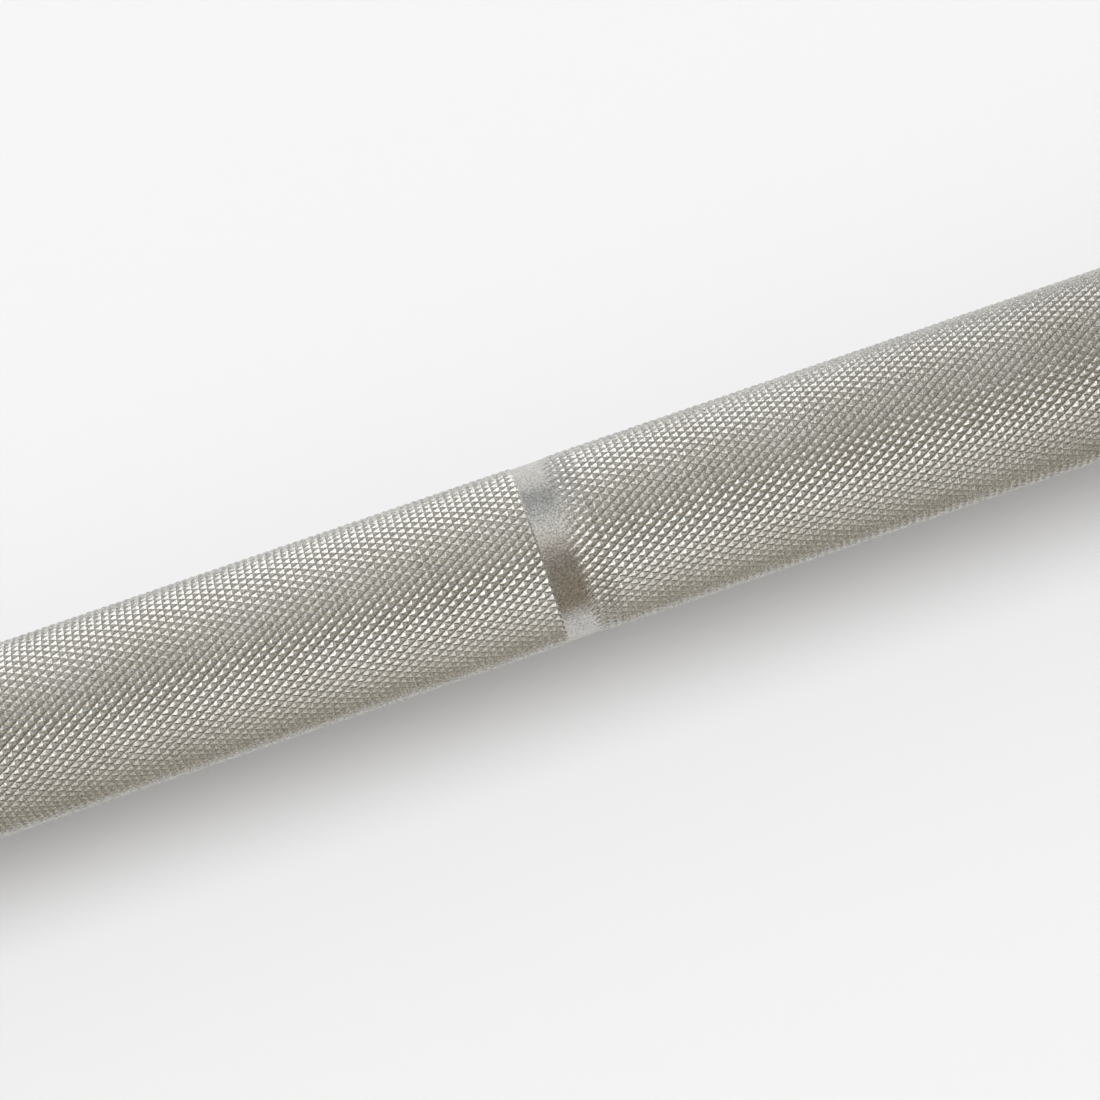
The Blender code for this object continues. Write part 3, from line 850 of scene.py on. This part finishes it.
for side, sign in SIDES:
    name = side + "_sleeve_tube"
    mesh = turned_mesh(name, round_corners(sleeve_profile, SLEEVE_FILLET), SLEEVE_FACETS)
    add_end_piece(name, mesh, sign, side + "_sleeve", side + "_sleeve", sleeve_chrome)


# The collars.
# A heavy steel ring, shrunk onto the inboard end of each sleeve, chromed with it. Plates rest against its
# outboard face.

COLLAR_INSET = 0.00002
COLLAR_RADIUS = min(cad_high.y, cad_high.z) - COLLAR_INSET
COLLAR_BORE = 0.0253
COLLAR_WIDTH = 0.030
COLLAR_CHAMFER = 0.002
COLLAR_FILLET = 0.0007
COLLAR_FACETS = 200

collar_profile = [
    (SLEEVE_START, COLLAR_BORE),
    (SLEEVE_START, COLLAR_RADIUS - COLLAR_CHAMFER),
    (SLEEVE_START + COLLAR_CHAMFER, COLLAR_RADIUS),
    (SLEEVE_START + COLLAR_WIDTH - COLLAR_CHAMFER, COLLAR_RADIUS),
    (SLEEVE_START + COLLAR_WIDTH, COLLAR_RADIUS - COLLAR_CHAMFER),
    (SLEEVE_START + COLLAR_WIDTH, COLLAR_BORE),
]
for side, sign in SIDES:
    name = side + "_collar_ring"
    mesh = turned_mesh(name, round_corners(collar_profile, COLLAR_FILLET), COLLAR_FACETS)
    add_end_piece(name, mesh, sign, side + "_sleeve", side + "_collar", sleeve_chrome)


# The end caps.
# A turned steel disc closes each sleeve, with a shallow recess in its outer face.

CAP = (1.0856, 1.0956)
CAP_RADIUS = 0.0199
CAP_RECESS_RADIUS = 0.013
CAP_RECESS_DEPTH = 0.0008
CAP_RECESS_SLOPE = 0.0003
CAP_CHAMFER = 0.0006
CAP_FILLET = 0.0002
CAP_FACETS = 128

cap_steel, tree, shader = metal(
    "cap_steel", ((0.54, 0.535, 0.52), (0.62, 0.615, 0.60)), (0.24, 0.34), (0.0003, 6.0e-6), 0.06, 0.008
)
add_lines(tree, shader, 0.00025, 8.0e-6)

cap_profile = [
    (CAP[0], 0),
    (CAP[0], CAP_RADIUS),
    (CAP[1] - CAP_CHAMFER, CAP_RADIUS),
    (CAP[1], CAP_RADIUS - CAP_CHAMFER),
    (CAP[1], CAP_RECESS_RADIUS),
    (CAP[1] - CAP_RECESS_DEPTH, CAP_RECESS_RADIUS - CAP_RECESS_SLOPE),
    (CAP[1] - CAP_RECESS_DEPTH, 0),
]
for side, sign in SIDES:
    name = side + "_cap_disc"
    mesh = turned_mesh(name, round_corners(cap_profile, CAP_FILLET, False), CAP_FACETS, closed=False)
    add_end_piece(name, mesh, sign, side + "_sleeve", side + "_end_cap", cap_steel)


# The circlips.
# Flat rings stamped from spring steel and oil-blackened, with two pierced lugs for the pliers. One sits in
# the sleeve over the end cap, and one on the shaft behind the outboard washer.

CLIP_HALF_GAP = math.radians(14)
CLIP_THICKNESS = 0.0018
CLIP_PLAY = 0.0003
CLIP_BACK = 0.0042
CLIP_TIP = 0.0030
CLIP_STEPS = 72
LUG_HEIGHT = 0.0056
LUG_LENGTH = 0.0042
LUG_ROUNDING = 0.0008
LUG_STEPS = (0, 0.15, 0.5, 0.85, 1)
LUG_HOLE_RADIUS = 0.0009
LUG_HOLE_INSET = 0.0010
LUG_HOLE_STEPS = 24

spring_steel, tree, shader = metal(
    "spring_steel", ((0.060, 0.060, 0.065), (0.105, 0.10, 0.10)), (0.38, 0.50), (0.0004, 1.0e-5), 0.15, 0.004
)
shader.inputs["Metallic"].default_value = 0.8


def finish_nodes(labels, material):
    """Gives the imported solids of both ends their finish."""
    for side, _ in SIDES:
        for label in labels:
            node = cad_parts[side + "_" + label]
            node.data.materials.clear()
            node.data.materials.append(material)


def circlip_mesh(name, middle, seat_radius):
    """A flat ring in a groove of a bore. Its free edge widens from its tips to its back."""
    first, last = CLIP_HALF_GAP, 2 * math.pi - CLIP_HALF_GAP
    lug_angle = LUG_LENGTH / seat_radius

    def point(angle, height):
        radius = seat_radius - height
        return Vector((radius * math.cos(angle), radius * math.sin(angle), 0))

    def sweep(start, stop):
        return [start + (stop - start) * i / CLIP_STEPS for i in range(CLIP_STEPS + 1)]

    def lug_edge(angle, t):
        return point(angle, LUG_HEIGHT - LUG_ROUNDING * (2 * t - 1) ** 4)

    outline = [point(angle, 0) for angle in sweep(first, last)]
    outline += [lug_edge(last - lug_angle * t, t) for t in LUG_STEPS]
    for angle in sweep(last - lug_angle, first + lug_angle):
        outline.append(point(angle, CLIP_TIP + (CLIP_BACK - CLIP_TIP) * (1 - math.cos(angle)) / 2))
    outline += [lug_edge(first + lug_angle * t, t) for t in reversed(LUG_STEPS)]
    outlines = [outline]
    for angle in (first + lug_angle / 2, last - lug_angle / 2):
        centre = point(angle, LUG_HEIGHT - LUG_HOLE_INSET - LUG_HOLE_RADIUS)
        turns = [2 * math.pi * i / LUG_HOLE_STEPS for i in range(LUG_HOLE_STEPS)]
        outlines.append([centre + LUG_HOLE_RADIUS * Vector((math.cos(t), math.sin(t), 0)) for t in turns])
    curve = bpy.data.curves.new(name, "CURVE")
    curve.dimensions = "2D"
    curve.fill_mode = "BOTH"
    curve.extrude = CLIP_THICKNESS / 2
    for points in outlines:
        spline = curve.splines.new("POLY")
        spline.points.add(len(points) - 1)
        for target, place in zip(spline.points, points):
            target.co = (*place, 1)
        spline.use_cyclic_u = True
    drawn = bpy.data.objects.new(name, curve)
    mesh = bpy.data.meshes.new_from_object(drawn)
    bpy.data.objects.remove(drawn)
    mesh.transform(Matrix.Translation((middle, 0, 0)) @ Matrix.Rotation(math.pi / 2, 4, "Y"))
    mesh.shade_smooth()
    mesh.set_sharp_from_angle(angle=SHARP_EDGE)
    return mesh


for side, sign in SIDES:
    name = side + "_cap_circlip"
    body, node = side + "_sleeve", side + "_end_cap_circlip"
    mesh = circlip_mesh(name, sum(CAP_GROOVE) / 2, CAP_GROOVE_RADIUS - CLIP_PLAY)
    clip = add_end_piece(name, mesh, sign, body, node, spring_steel)
    if sign < 0:
        clip.matrix_world = Matrix.Rotation(math.pi, 4, "X") @ clip.matrix_world
finish_nodes(("shaft_circlip",), spring_steel)


# The thrust washers and bearing cups.
# Hardened steel washers take the push of the plates. Drawn steel cups hold two caged rows of needle rollers
# in each sleeve. All are ground bright and lightly oiled.

bearing_steel, tree, shader = metal(
    "bearing_steel", ((0.50, 0.505, 0.52), (0.58, 0.58, 0.585)), (0.14, 0.24), (0.0002, 3.0e-6), 0.05, 0.006
)
add_lines(tree, shader, 0.0001, 2.0e-6)

BEARING_NODES = (
    "inner_thrust_washer",
    "outer_thrust_washer",
    "inner_bearing_cup",
    "outer_bearing_cup",
    "inner_bearing_roller_cage",
    "outer_bearing_roller_cage",
)
finish_nodes(BEARING_NODES, bearing_steel)


# The bushings.
# Two flanged bushings of sintered bronze in each sleeve, full of oil, run on the journal beside the rollers.

bushing_bronze, tree, shader = metal(
    "bushing_bronze", ((0.52, 0.33, 0.15), (0.68, 0.46, 0.22)), (0.28, 0.42), (0.00012, 1.0e-5), 0.20, 0.005
)
finish_nodes(("inner_bushing", "outer_bushing"), bushing_bronze)
